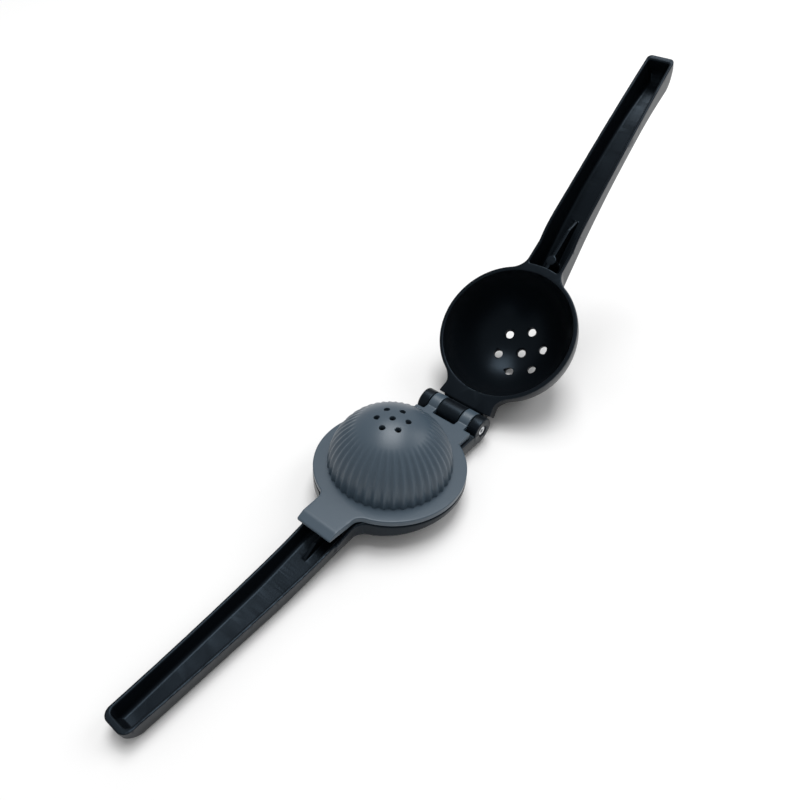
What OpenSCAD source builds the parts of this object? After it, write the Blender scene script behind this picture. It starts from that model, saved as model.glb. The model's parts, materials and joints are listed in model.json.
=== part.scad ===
// Hinged lemon squeezer with two levers and a swing-over insert.
// A lower lever carries the press ring and plunger, an upper lever carries the
// perforated bowl, and a fluted insert for large fruit swings between them.
// All three turn on one pin. The squeezer lies open: the lower handle rests flat
// on the table and the bowl stands on its rounded underside.
//
// Each lever is drawn in its own frame: the hinge axis is the Y axis, the lever
// runs towards +X and the face of its ring looks towards +Z.

/* [Hinge] */
// Distance from the hinge axis to the middle of the plunger, dome and bowl
reach = 53.4; // [52:0.2:60]
// Height of the hinge axis above the table
hinge_height = 10.2; // [9:0.1:14]
// Slope between the lower handle's flat underside and its ring, in degrees
rest_tilt = 3.97; // [3:0.01:6]
// Radius of the knuckles of the bowl and the insert
knuckle_r = 7.3; // [6:0.1:8]
// Radius of the two outer ears on the lower lever
ear_r = 7.2; // [6.5:0.1:8]
// Width of the bowl's middle knuckle
bowl_knuckle_w = 13.2; // [10:0.2:16]
// Width of each of the insert's two knuckles
insert_knuckle_w = 6.0; // [4:0.2:8]
// Width of each ear
ear_w = 5.8; // [4:0.1:7]
// Side play between neighbouring knuckles
knuckle_play = 0.4; // [0.3:0.05:0.8]
// Diameter of the hinge pin
pin_d = 5.0; // [4:0.1:6]
// Diameter of the hollow through the pin
pin_hollow_d = 2.2; // [1:0.1:3]
// Radial clearance of the pin in the knuckles that turn on it
pin_clearance = 0.05; // [0.02:0.01:0.1]
// Diameter of the shallow recess round each pin end
pin_recess_d = 6.6; // [6.2:0.1:8]
// Depth of the recess round each pin end
pin_recess_depth = 0.5; // [0.3:0.1:1]

/* [Press ring and plunger] */
// Outer radius of the ring, the insert's flange and the bowl
outer_r = 38.0; // [36:0.2:42]
// Height of the press ring's top above the hinge axis
deck_top = 0.7; // [0.4:0.1:1]
// Height of the press ring's band towards the hinge
band_low = 2.9; // [2.8:0.1:5]
// Height of the band where the handle joins it
band_high = 7.8; // [5:0.1:9]
// Thickness of the ring's top plate
deck_t = 2.5; // [1.5:0.1:3.5]
// Thickness of the ring's outer skirt
skirt_t = 2.0; // [1.5:0.1:3]
// Radius of the plunger at its foot
plunger_r = 24.5; // [20:0.5:25.5]
// Height of the plunger above the ring
plunger_h = 23.0; // [18:0.5:25]
// Wall of the plunger
plunger_wall = 2.5; // [1.5:0.1:3.5]
// Small chamfer on the rings' outer edges
edge_chamfer = 0.5; // [0.2:0.1:0.8]

/* [Insert] */
// Gap between stacked rings when the squeezer is shut
stack_gap = 0.3; // [0.3:0.05:0.6]
// Thickness of the insert's flange
flange_t = 3.1; // [2.5:0.1:4]
// Radius of the fluted dome over its ridges
dome_r = 31.0; // [29.5:0.1:31.5]
// Height of the dome above the flange
dome_h = 29.4; // [28:0.1:31]
// Wall of the dome below the flutes
dome_wall = 2.1; // [1.5:0.1:2.5]
// Number of flutes round the dome
flutes = 42; // [30:1:54]
// Depth of the flutes at the dome's foot
flute_depth = 1.0; // [0.4:0.1:1.2]
// Angle from the dome's top at which the flutes fade in
flute_start = 31; // [25:1:45]
// Angle over which the flutes grow to their full depth
flute_fade = 16; // [8:1:30]
// Diameter of the seven holes in the dome
dome_hole_d = 3.0; // [2:0.1:4]
// Radius of the ring of holes in the dome
dome_hole_ring = 7.5; // [6:0.1:9]
// Width of the insert's neck towards the hinge
insert_neck_w = 35.2; // [30:0.2:37]
// Clear room round the knuckles of the other levers, from the hinge axis
pocket_reach = 9.7; // [8.9:0.1:11]
// Width of the lifting tab at its root
tab_w = 22.4; // [16:0.2:24]
// Narrowing of the tab towards its end
tab_taper = 1.8; // [0:0.1:4]
// Length of the tab beyond the flange
tab_l = 16.4; // [12:0.2:22]
// Length of the sloped thumb face at the tab's end
tab_slope_l = 4.5; // [3:0.1:8]
// Drop of the thumb face at the tab's end
tab_drop = 1.9; // [1:0.1:2.4]
// Radius of the concave corners between the tab and the flange
tab_fillet = 3.0; // [2:0.5:8]

/* [Bowl] */
// Wall of the bowl
bowl_wall = 2.2; // [1.5:0.1:3]
// Height of the straight rim above the bowl's rounded part
bowl_rim_h = 1.6; // [0.8:0.1:4]
// Diameter of the drain holes
drain_d = 4.8; // [3:0.1:6]
// Size of the chamfer round each drain hole, inside the bowl
drain_flare = 0.6; // [0.2:0.1:1.5]
// Radius of the ring of drain holes
drain_ring = 13.2; // [10:0.1:18]
// Distance from the hinge axis to the hinge block's end face
block_x = 8.6; // [8.2:0.1:9.2]
// Width of the hinge block at its end face
block_w = 33.8; // [30:0.2:36]
// Narrowing of the block towards the bowl
block_taper = 2.8; // [0:0.2:5]
// Depth of the block below the bowl's rim
block_depth = 8.0; // [6:0.5:9]
// Draft of the block's end face, in degrees
block_draft = 7; // [7:0.5:10]
// Radius of the concave corners between the block and the bowl
block_fillet = 5.0; // [3:0.5:8]
// Reach of the lip under the knuckles, from the block's end face towards the hinge
lip_reach = 3.6; // [1:0.2:4]
// Depth of the lip's front edge below the bowl's rim
lip_drop = 4.2; // [3.8:0.2:6]
// Height of the web that joins the middle knuckle to the block
web_h = 2.6; // [2:0.1:4]
// Depth of the web's top below the hinge axis
web_top = 4.8; // [4.6:0.1:6]

/* [Handles] */
// Length of the lower handle's tip from the hinge axis
press_tip = 217.5; // [200:0.5:240]
// Length of the bowl handle's tip from the hinge axis
bowl_tip = 218; // [200:0.5:240]
// Width of a handle where it leaves its ring
handle_w = 21.8; // [18:0.2:26]
// Width of a handle near its tip
tip_w = 15.0; // [12:0.2:20]
// Wall of the handle channels at their rims
handle_wall = 1.6; // [1.5:0.1:3]
// Thickness of the walls' ends at the handle tips
tip_wall = 2.8; // [2:0.1:4]
// Floor of the handle channels
handle_floor = 2.4; // [1.5:0.1:3.5]
// Lean of a handle's side walls towards the floor, outside
wall_lean = 1.3; // [0.8:0.1:3]
// Lean of a handle's side walls towards the floor, inside the channel
channel_lean = 2.0; // [1:0.1:3]
// Radius of the rounding under the handles
under_r = 2.0; // [1:0.1:4]
// Radius of the rounding along the channel's floor
channel_r = 1.5; // [0.5:0.1:3]
// Radius of the concave corners between the lower handle and its ring
press_neck_fillet = 6; // [4:0.5:12]
// Radius of the concave corners between the upper handle and the bowl
bowl_neck_fillet = 5.5; // [3:0.5:10]
// Radius of the lower handle's tip corners seen from above
press_corner = 4.2; // [2:0.1:6]
// Radius of the upper handle's tip corners seen from above
bowl_corner = 2.4; // [2:0.1:6]
// Width of the rib along the middle of each channel
rib_w = 2.0; // [1.2:0.1:3]
// Length of the lower handle's rib from the channel's inner end
press_rib_l = 23; // [10:1:40]
// Length of the upper handle's rib from the channel's inner end
bowl_rib_l = 32; // [14:1:40]
// Diameter of the round pad on the bowl handle's rib
pad_d = 5.6; // [4:0.2:7]
// Distance of the round pad from the channel's inner end
pad_x = 6.0; // [4:0.5:12]
// Thickness of the bowl handle's end wall against the bowl
bowl_end_wall = 2.6; // [2:0.1:4]
// Drop of the lower handle's rib below the rim at its ring
press_rib_drop = 8.0; // [5:0.1:9]
// Drop of the upper handle's rib below the rim at its bowl
bowl_rib_drop = 4.0; // [2:0.5:6]
// Height of a rib's low end above the channel's floor
rib_end_h = 0.6; // [0.3:0.1:2]
// Length of a rib's sloped stretch
rib_slope_l = 7; // [3:0.5:12]
// Length of the rounded heel under the lower handle's tip
press_heel = 8.5; // [5:0.1:12]
// Length of the rounded heel under the upper handle's tip
bowl_heel = 8.9; // [5:0.1:12]
// Height of the lower handle's rim at its tip, from the hinge axis
press_tip_rim = -13.9; // [-16:0.1:-12]
// Height of the bowl handle's rim at its tip, from the hinge axis
bowl_tip_rim = 1.9; // [0:0.1:4]

/* [Hidden] */
$fn = 96;

BLACK = [0.12, 0.15, 0.18];
SLATE = [0.36, 0.42, 0.47];
STEEL = [0.75, 0.76, 0.78];

// Stack of the three rings, measured up from the hinge axis when shut
insert_z = deck_top + stack_gap;
flange_top = insert_z + flange_t;
bowl_rim = flange_top + stack_gap;
bowl_centre = bowl_rim + bowl_rim_h;
inner_r = outer_r - bowl_wall;

// Knuckles and ears along the pin, from the middle outwards
bowl_y = bowl_knuckle_w / 2;
insert_y0 = bowl_y + knuckle_play;
insert_y1 = insert_y0 + insert_knuckle_w;
ear_y0 = insert_y1 + knuckle_play;
ear_y1 = ear_y0 + ear_w;
pin_half = ear_y1 - pin_recess_depth;

// The bowl rises just far enough to stand on its rounded underside
bowl_rise = asin((outer_r - hinge_height) / norm([reach, bowl_centre])) + atan(bowl_centre / reach);
opening_angle = 180 - bowl_rise - rest_tilt;

// The origin lies on the table, in the middle of the lower handle's flat underside
flat_x0 = reach + outer_r + 48.6;
flat_x1 = press_tip - press_heel - 1;
flat_mid = (flat_x0 + flat_x1) / 2;
hinge_x = flat_mid / cos(rest_tilt) + hinge_height * tan(rest_tilt);
// The press ring is drawn down to this height and trimmed along its band
band_floor = deck_top - band_high - 1.5;
// The insert's knuckles join its flange by fingers that end here
finger_end = pocket_reach + 1;
// The ears' arms end inside the ring's skirt
arm_end = reach - sqrt(outer_r * outer_r - ear_y1 * ear_y1) + skirt_t;
// Cutting shapes run past what they cut by cut_over, and cut_tall reaches past every lever
eps = 0.01;
cut_over = 1;
cut_tall = 60;
// The lower handle is drawn this much too deep, and the table plane trims its flat face
under_skim = 0.3;
// Height of the end face left under the rim at a tip
tip_edge = 0.3;
// The lower handle's rim starts this far under the press ring's top
rim_step = 0.8;
// The corners at the lower neck stand this far over the handle's rim
corner_lift = 0.2;

// Height of the table in the lower lever's frame, at x along the lever
function table_z(x) = -(hinge_height + x * sin(rest_tilt)) / cos(rest_tilt);

// Middle points of seven holes: one on the ring's axis and six round it
function hole_places(ring) =
    concat([[reach, 0]], [for (a = [0:60:300]) [reach + ring * cos(a), ring * sin(a)]]);

// Smooth curve through [x, z] points: cubic pieces with slopes from the neighbours
function slope_at(p, i) =
    let (a = p[max(i - 1, 0)], b = p[min(i + 1, len(p) - 1)]) (b[1] - a[1]) / (b[0] - a[0]);
function piece_of(p, x, i = 0) = i >= len(p) - 2 || x < p[i + 1][0] ? i : piece_of(p, x, i + 1);
function curve(p, x) =
    let (i = piece_of(p, x), h = p[i + 1][0] - p[i][0], t = min(1, max(0, (x - p[i][0]) / h)),
         m0 = slope_at(p, i) * h, m1 = slope_at(p, i + 1) * h)
    p[i][1] * (1 + 2 * t) * (1 - t) * (1 - t) + m0 * t * (1 - t) * (1 - t)
    + p[i + 1][1] * t * t * (3 - 2 * t) + m1 * t * t * (t - 1);

// Rim and underside of the two handles, as [distance from the hinge, height].
// A handle starts inside its ring, at the distance start.
root = reach + outer_r;
start = root - 8;
neck_rim = deck_top - rim_step;
press_rim = [[start, neck_rim], [root - 2, neck_rim], [root + 2, neck_rim - 1.2],
    [root + 6, neck_rim - 2.8], [root + 10, neck_rim - 4.0], [root + 14, neck_rim - 5.2],
    [root + 31.6, -7.6], [root + 66.6, -11.0], [root + 98.6, -13.0], [press_tip, press_tip_rim]];
press_band = [[0, deck_top - band_low], [reach, deck_top - band_low - 0.9],
    [reach + 13, deck_top - band_low - 1.7], [reach + 24.6, deck_top - band_high + 1.6],
    [reach + 33.6, deck_top - band_high], [root + 6, deck_top - band_high - 1.4]];
press_under = [[start, -12.0], [root + 4.6, -12.9], [root + 12.6, -14.1], [root + 23.6, -16.1],
    [root + 33.6, -17.9], [root + 41, -19.0], [flat_x0, table_z(flat_x0)],
    [flat_x1 - 40, table_z(flat_x1 - 40)], [flat_x1, table_z(flat_x1)]];
bowl_rim_line = [[start, -bowl_rim], [root + 15, -bowl_rim], [root + 19, -3.0], [root + 24, -1.6],
    [root + 30, -0.8], [root + 46.6, 0], [root + 76.6, 1.4], [root + 98, bowl_tip_rim],
    [bowl_tip, bowl_tip_rim]];
bowl_under = [[start, -25.4], [root + 6.6, -21.3], [root + 11.6, -20.0], [root + 28.6, -15.9],
    [root + 48.6, -12.6], [root + 58.6, -11.5], [root + 68.6, -10.8], [root + 88.6, -10.1],
    [root + 98.6, -10.4], [root + 106, -11.2], [bowl_tip - bowl_heel, -13.1]];

// A handle: rim, underside, tip, heel length, heel steepness, tip corner, neck fillet
PRESS_HANDLE = [press_rim, press_under, press_tip, press_heel, 0.7, press_corner, 0];
BOWL_HANDLE = [bowl_rim_line, bowl_under, bowl_tip, bowl_heel, 0.5, bowl_corner, bowl_neck_fillet];
function tip_of(h) = h[2];
function heel_x(h) = h[2] - h[3];
function rim_z(h, x) = curve(h[0], x);
function under_z(h, x) = curve(h[1], min(x, heel_x(h)));

// Where a handle's concave neck corners end, on the straight side and on the ring
function corner_x(h) = reach + sqrt(pow(outer_r + h[6], 2) - pow(handle_w / 2 + h[6], 2));
function ring_x(h) = reach + (corner_x(h) - reach) * outer_r / (outer_r + h[6]);

// Half width of a handle at its rim: a concave corner at the ring, a straight taper,
// and rounded corners at the tip
function straight_half(h, x) =
    handle_w / 2 + (tip_w - handle_w) / 2 * (x - root) / (tip_of(h) - h[5] - root);
function rim_half(h, x) =
    let (x0 = corner_x(h), xf = max(x, ring_x(h)), xt = x - (tip_of(h) - h[5]))
    straight_half(h, max(x, root))
    + (xf < x0 ? h[6] - sqrt(pow(h[6], 2) - pow(x0 - xf, 2)) : 0)
    - (xt > 0 ? h[5] - sqrt(max(0, pow(h[5], 2) - xt * xt)) : 0);

// Stations along a handle: close together at its neck and its tip, wide between them
function stations(h) =
    let (turn = heel_x(h) - 2, x0 = corner_x(h))
    concat([start], [for (k = [0:h[6] > 0 ? 5 : 0]) ring_x(h) + (x0 - ring_x(h)) * k / 5],
        [for (k = [1:16]) x0 + (turn - x0) * pow(k / 16, 1.4)],
        [for (a = [15:15:75]) turn + (tip_of(h) - turn) * sin(a)], [tip_of(h) - eps]);

// Underside at the tip: a rounded heel that turns up to just under the rim
function heel_z(h, x) =
    let (rise = rim_z(h, tip_of(h)) - tip_edge - under_z(h, x), t = max(0, x - heel_x(h)) / h[3])
    under_z(h, x) + rise * (1 - pow(max(0, 1 - t * t), h[4]));

// One cross-section of a channel, from the +Y rim round under to the -Y rim
function section(x, half, lean, top, bottom, r) = [
    [x, half, top], [x, half - lean, bottom + r], [x, half - lean - 0.3 * r, bottom + 0.3 * r],
    [x, half - lean - r, bottom], [x, lean + r - half, bottom],
    [x, lean + 0.3 * r - half, bottom + 0.3 * r], [x, lean - half, bottom + r], [x, -half, top]];

// Closed skin over a list of sections with the same number of points
module skin(sections) {
    n = len(sections[0]);
    m = len(sections);
    polyhedron(points = [for (s = sections, p = s) p],
        faces = concat([[for (j = [n - 1:-1:0]) j]], [[for (j = [0:n - 1]) (m - 1) * n + j]],
            [for (i = [0:m - 2], j = [0:n - 1]) [(i + 1) * n + j, i * n + j, i * n + (j + 1) % n]],
            [for (i = [0:m - 2], j = [0:n - 1])
                [(i + 1) * n + j, i * n + (j + 1) % n, (i + 1) * n + (j + 1) % n]]));
}

module handle_outside(h, sink = 0) {
    skin([for (x = stations(h)) let (z = rim_z(h, x), b = heel_z(h, x) - sink)
        section(x, max(rim_half(h, x), under_r + 2 * wall_lean), min(wall_lean, (z - b) / 4), z, b,
            min(under_r, (z - b) / 3))]);
}

// Hollow of a channel: the floor lifts and the sides close in over its last stretch
module handle_inside(h) {
    end = tip_of(h) - tip_wall;
    last = 2 * channel_r;
    places = concat([for (x = stations(h)) if (x < end - last) x], [end - last, end - last / 2, end]);
    skin([for (x = places)
        let (past = max(0, x - end + last), b = under_z(h, x) + handle_floor + past,
             half = rim_half(h, min(x, tip_of(h) - h[5])) - handle_wall - past * past / (4 * last))
        section(x, half, channel_lean, rim_z(h, x) + cut_over, b, channel_r)]);
}

// A handle with its channel cut out beyond the radius r of its ring
module handle(h, r, sink = 0) {
    difference() {
        handle_outside(h, sink);
        difference() {
            handle_inside(h);
            disc(r, -cut_tall, 2 * cut_tall);
        }
    }
}

// Solid ring of the lever's frame, standing on height z
module disc(r, z, h) {
    translate([reach, 0, z]) cylinder(r = r, h = h);
}

// Concave corners between a round ring and a straight neck, side +1 away from the
// hinge and -1 towards it
module corner_pair(half, r, z, h, side) {
    run = side * sqrt(pow(outer_r + r, 2) - pow(half + r, 2));
    k = outer_r / (outer_r + r);
    inner = k * 0.96;
    for (m = [-1, 1]) {
        y = m * (half + r);
        difference() {
            translate([reach, 0, z]) linear_extrude(h)
                polygon([[run * inner, 0], [run * inner, y * inner], [run * k, y * k], [run, y], [run, 0]]);
            translate([reach + run, y, z - cut_over]) cylinder(r = r, h = h + 2 * cut_over);
        }
    }
}

// Cylinder on the hinge axis from y0 to y1
module on_axis(r, y0, y1) {
    translate([0, y1, 0]) rotate([90, 0, 0]) cylinder(r = r, h = y1 - y0);
}

// Plate across the lever: a side outline in X and Z, from y0 to y1
module side_plate(outline, y0, y1) {
    translate([0, y1, 0]) rotate([90, 0, 0]) linear_extrude(y1 - y0) polygon(outline);
}

// Round shell of the press ring with its hollow plunger
module press_shell() {
    arc = [for (a = [0:7.5:90]) a];
    hollow_r = plunger_r - plunger_wall;
    hollow_h = plunger_h - plunger_wall;
    translate([reach, 0, 0]) rotate_extrude()
        polygon(concat([[outer_r, band_floor], [outer_r, deck_top - edge_chamfer]],
            [[outer_r - edge_chamfer, deck_top]],
            [for (a = arc) [plunger_r * cos(a), deck_top + plunger_h * sin(a)]],
            [for (i = [len(arc) - 1:-1:0]) [hollow_r * cos(arc[i]), deck_top + hollow_h * sin(arc[i])]],
            [[hollow_r, deck_top - deck_t], [outer_r - skirt_t, deck_top - deck_t]],
            [[outer_r - skirt_t, band_floor]]));
}

// Everything under the band of the press ring, which deepens towards the handle
module under_band() {
    xs = [-cut_over, reach / 2, for (x = [reach:4:root + 8]) x];
    side_plate(concat([for (x = xs) [x, curve(press_band, x)]],
        [[root + 12, curve(press_band, root + 6)], [root + 12, -cut_tall], [-cut_over, -cut_tall]]),
        -outer_r - cut_over, outer_r + cut_over);
}

// Everything over the lower handle's rim, beside the handle
module over_rim() {
    xs = [for (x = [root - 4:2:root + 12]) x];
    side_plate(concat([for (x = xs) [x, rim_z(PRESS_HANDLE, x) + corner_lift]],
        [[root + 12, deck_top + cut_over], [root - 4, deck_top + cut_over]]), -outer_r, outer_r);
}

module press_lever() color(BLACK) place_lower() {
    difference() {
        union() {
            difference() {
                union() {
                    press_shell();
                    difference() {
                        corner_pair(handle_w / 2, press_neck_fillet, band_floor,
                            neck_rim + corner_lift - band_floor, 1);
                        over_rim();
                    }
                }
                under_band();
            }
            difference() {
                handle(PRESS_HANDLE, outer_r, under_skim);
                disc(outer_r - skirt_t, -cut_tall, 2 * cut_tall);
            }
            channel_rib(PRESS_HANDLE, root, press_rib_l, press_rib_drop);
            for (m = [0, 1]) mirror([0, m, 0]) {
                on_axis(ear_r, ear_y0, ear_y1);
                side_plate([[0, -ear_r], [arm_end, -ear_r], [arm_end, deck_top], [0, deck_top]],
                    ear_y0, ear_y1);
            }
        }
        on_axis(pin_d / 2, -ear_y1 - cut_over, ear_y1 + cut_over);
        for (m = [0, 1]) mirror([0, m, 0]) on_axis(pin_recess_d / 2, pin_half, ear_y1 + cut_over);
        table_cut();
    }
}

// Everything below the table, in the lower lever's frame
module table_cut() {
    rotate([0, rest_tilt, 0]) translate([-cut_tall, -cut_tall, -hinge_height - cut_tall])
        cube([press_tip + 2 * cut_tall, 2 * cut_tall, cut_tall]);
}

// Rib along the middle of a channel, from its end wall at x0: level, then sloping down
module channel_rib(h, x0, length, drop) {
    x1 = x0 + length;
    top = rim_z(h, x0) - drop;
    foot = under_z(h, x1) + handle_floor;
    side_plate([[x0 - cut_over, under_z(h, x0) + handle_floor / 2], [x1, foot - handle_floor / 2],
        [x1, foot + rib_end_h], [x1 - rib_slope_l, top], [x0 - cut_over, top]], -rib_w / 2, rib_w / 2);
}

// Round pad on the bowl handle's rib, level with its top
module rib_pad() {
    x = root + bowl_end_wall + pad_x;
    foot = under_z(BOWL_HANDLE, x) + handle_floor / 2;
    translate([x, 0, foot]) cylinder(d = pad_d, h = -bowl_rim - bowl_rib_drop - foot);
}

module hinge_pin() color(STEEL) place_lower()
    difference() {
        on_axis(pin_d / 2, -pin_half, pin_half);
        on_axis(pin_hollow_d / 2, -pin_half - cut_over, pin_half + cut_over);
    }

// Outside of the fluted dome: rings of points from the foot to the top
function flute_share(a) = let (t = min(1, max(0, (a - flute_start) / flute_fade))) t * t * (3 - 2 * t);
function dome_point(a, b) =
    let (r = dome_r * sin(a) - flute_depth * flute_share(a) * (1 - cos(b * flutes)) / 2)
    [reach + r * cos(b), r * sin(b), flange_top + dome_h * cos(a)];
module fluted_dome() {
    around = 4 * flutes;
    levels = [90, 82, 72, 60, 50, 43, 37, flute_start, 22, 14, 7];
    rings = [for (a = levels) [for (k = [0:around - 1]) dome_point(a, k * 360 / around)]];
    foot = [for (p = rings[0]) [p[0], p[1], insert_z + eps]];
    all = concat([foot], rings);
    top = len(all) * around;
    polyhedron(points = concat([for (s = all, p = s) p], [[reach, 0, flange_top + dome_h]]),
        faces = concat([[for (k = [0:around - 1]) k]],
            [for (i = [0:len(all) - 2], k = [0:around - 1])
                [i * around + k, (i + 1) * around + k, i * around + (k + 1) % around]],
            [for (i = [0:len(all) - 2], k = [0:around - 1])
                [(i + 1) * around + k, (i + 1) * around + (k + 1) % around, i * around + (k + 1) % around]],
            [for (k = [0:around - 1]) [top - around + k, top, top - around + (k + 1) % around]]));
}

module dome_hollow() {
    r = dome_r - flute_depth - dome_wall;
    h = dome_h - dome_wall;
    translate([reach, 0, flange_top]) rotate_extrude()
        polygon(concat([[0, -flange_t - cut_over], [r, -flange_t - cut_over]],
            [for (a = [0:7.5:82.5]) [r * cos(a), h * sin(a)]], [[0, h]]));
}

// Seven straight holes: one in the middle and six on a ring
module seven_holes(d, ring, z, h) {
    for (p = hole_places(ring)) translate([p[0], p[1], z]) cylinder(d = d, h = h);
}

// The flange with its neck towards the hinge and the tab with its sloped thumb face
module insert_plate() {
    half = insert_neck_w / 2;
    tab_root = root - 4;
    tab_end = root + tab_l;
    tab_half = tab_w / 2;
    translate([reach, 0, 0]) rotate_extrude()
        polygon([[0, insert_z], [outer_r, insert_z], [outer_r, flange_top - edge_chamfer],
            [outer_r - edge_chamfer, flange_top], [0, flange_top]]);
    intersection() {
        side_plate([[pocket_reach, insert_z], [tab_end, insert_z], [tab_end, flange_top - tab_drop],
            [tab_end - tab_slope_l, flange_top], [pocket_reach, flange_top]], -half, half);
        translate([0, 0, insert_z - cut_over]) linear_extrude(flange_t + 2 * cut_over)
            for (m = [-1, 1])
                polygon([[pocket_reach, 0], [pocket_reach, m * half], [reach, m * half],
                    [reach, m * tab_half], [tab_root, m * tab_half],
                    [tab_end, m * (tab_half - tab_taper / 2)], [tab_end, 0]]);
    }
    corner_pair(tab_half, tab_fillet, insert_z, flange_t, 1);
}

module cup_insert() color(SLATE) place_lower()
    difference() {
        union() {
            insert_plate();
            fluted_dome();
            for (m = [0, 1]) mirror([0, m, 0]) {
                on_axis(knuckle_r, insert_y0, insert_y1);
                side_plate([[0, insert_z], [finger_end, insert_z], [finger_end, flange_top],
                    [0, flange_top]], insert_y0, insert_y1);
            }
        }
        dome_hollow();
        seven_holes(dome_hole_d, dome_hole_ring, flange_top + dome_h / 2, dome_h);
        on_axis(pin_d / 2 + pin_clearance, -ear_y1, ear_y1);
    }

// Half-round shell of the bowl with a short straight rim, open upwards
module bowl_outside() {
    translate([reach, 0, -bowl_centre]) intersection() {
        sphere(r = outer_r);
        translate([0, 0, -cut_tall]) cylinder(r = cut_tall, h = cut_tall);
    }
    disc(outer_r, -bowl_centre, bowl_rim_h);
}

module bowl_hollow() {
    translate([reach, 0, -bowl_centre]) sphere(r = inner_r);
    disc(inner_r, -bowl_centre, bowl_rim_h + cut_over);
}

// Block between the bowl and the hinge, with a lip that passes under the knuckles
module hinge_block() {
    back = reach - outer_r + 12;
    end_half = block_w / 2;
    bowl_half = end_half - block_taper / 2;
    run_x = reach - sqrt(pow(outer_r + block_fillet, 2) - pow(bowl_half + block_fillet, 2));
    base = -bowl_rim - block_depth;
    intersection() {
        side_plate([[block_x, -bowl_rim], [back, -bowl_rim], [back, base],
            [block_x + block_depth * tan(block_draft), base]], -end_half, end_half);
        translate([0, 0, base - cut_over]) linear_extrude(block_depth + 2 * cut_over)
            for (m = [-1, 1])
                polygon([[block_x, 0], [block_x, m * end_half], [run_x, m * bowl_half],
                    [back, m * bowl_half], [back, 0]]);
    }
    corner_pair(bowl_half, block_fillet, base, block_depth, -1);
    lip_x = block_x - lip_reach;
    side_plate([[block_x, -bowl_rim], [lip_x, -bowl_rim - lip_drop], [lip_x, base],
        [block_x + 2 * cut_over, base], [block_x + 2 * cut_over, -bowl_rim]], -insert_y1, insert_y1);
}

// Seven drain holes through the bowl's bottom, flared on the inside
module drains() {
    seven_holes(drain_d, drain_ring, -bowl_centre - outer_r - cut_over, outer_r);
    for (p = hole_places(drain_ring)) {
        inside = -bowl_centre - sqrt(inner_r * inner_r - pow(norm([p[0] - reach, p[1]]), 2));
        translate([p[0], p[1], inside - drain_flare])
            cylinder(d1 = drain_d, d2 = drain_d + 4 * drain_flare, h = 2 * drain_flare);
    }
}

module bowl_lever() color(BLACK) place_upper()
    difference() {
        union() {
            bowl_outside();
            hinge_block();
            handle(BOWL_HANDLE, outer_r + bowl_end_wall);
            channel_rib(BOWL_HANDLE, root + bowl_end_wall, bowl_rib_l, bowl_rib_drop);
            rib_pad();
            on_axis(knuckle_r, -bowl_y, bowl_y);
            side_plate([[knuckle_r / 2, -web_top - web_h], [block_x + cut_over, -web_top - web_h],
                [block_x + cut_over, -web_top], [knuckle_r / 2, -web_top]], -bowl_y, bowl_y);
        }
        bowl_hollow();
        drains();
        on_axis(pin_d / 2 + pin_clearance, -ear_y1, ear_y1);
    }

// Lower lever, pin and insert run towards -X and lean with the lower handle
module place_lower() {
    translate([hinge_x, 0, hinge_height]) rotate([0, rest_tilt, 0]) rotate([0, 0, 180]) children();
}

// The bowl's lever runs towards +X and rises from the hinge
module place_upper() {
    translate([hinge_x, 0, hinge_height]) rotate([0, -bowl_rise, 0]) children();
}

press_lever();
hinge_pin();
cup_insert();
bowl_lever();
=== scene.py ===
"""Looks of the hinged lemon squeezer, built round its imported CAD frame.

The two levers and the insert's plate are rounded solids: each is one signed
distance field, in millimetres in its own lever frame, that is turned into a mesh.
The insert's fluted dome and every ring of holes come from Geometry Nodes. A lever
frame has the hinge axis as its Y axis, the lever along +X and the face of its ring
towards +Z. Each finished mesh is placed in metres in the frame's own axes.
"""

import json
import logging
import math
from dataclasses import dataclass
from enum import Enum
from typing import Callable

import bmesh
import bpy
import numpy as np
from mathutils import Matrix, Vector


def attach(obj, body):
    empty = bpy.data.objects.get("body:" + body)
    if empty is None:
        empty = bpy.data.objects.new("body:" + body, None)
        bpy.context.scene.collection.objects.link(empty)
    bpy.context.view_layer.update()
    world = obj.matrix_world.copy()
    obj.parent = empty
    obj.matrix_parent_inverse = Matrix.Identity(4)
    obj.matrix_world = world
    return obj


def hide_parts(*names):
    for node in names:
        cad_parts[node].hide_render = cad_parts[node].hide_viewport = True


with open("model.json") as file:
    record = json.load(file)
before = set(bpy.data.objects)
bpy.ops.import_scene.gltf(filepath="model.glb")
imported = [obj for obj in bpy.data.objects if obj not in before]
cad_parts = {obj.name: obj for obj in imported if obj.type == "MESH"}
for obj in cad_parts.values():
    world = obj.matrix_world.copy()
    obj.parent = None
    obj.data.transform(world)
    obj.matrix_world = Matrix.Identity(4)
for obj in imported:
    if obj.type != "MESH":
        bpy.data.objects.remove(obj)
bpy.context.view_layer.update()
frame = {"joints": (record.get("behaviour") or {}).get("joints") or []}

log = logging.getLogger("squeezer")
Array = np.ndarray
Field = Callable[[Array, Array, Array], Array]
MM = 0.001


class Body(Enum):
    """Bodies of the frame that pieces ride on."""

    PRESS = "press"
    INSERT = "insert"
    BOWL = "bowl"


# ---------------------------------------------------------------- sizes


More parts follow.
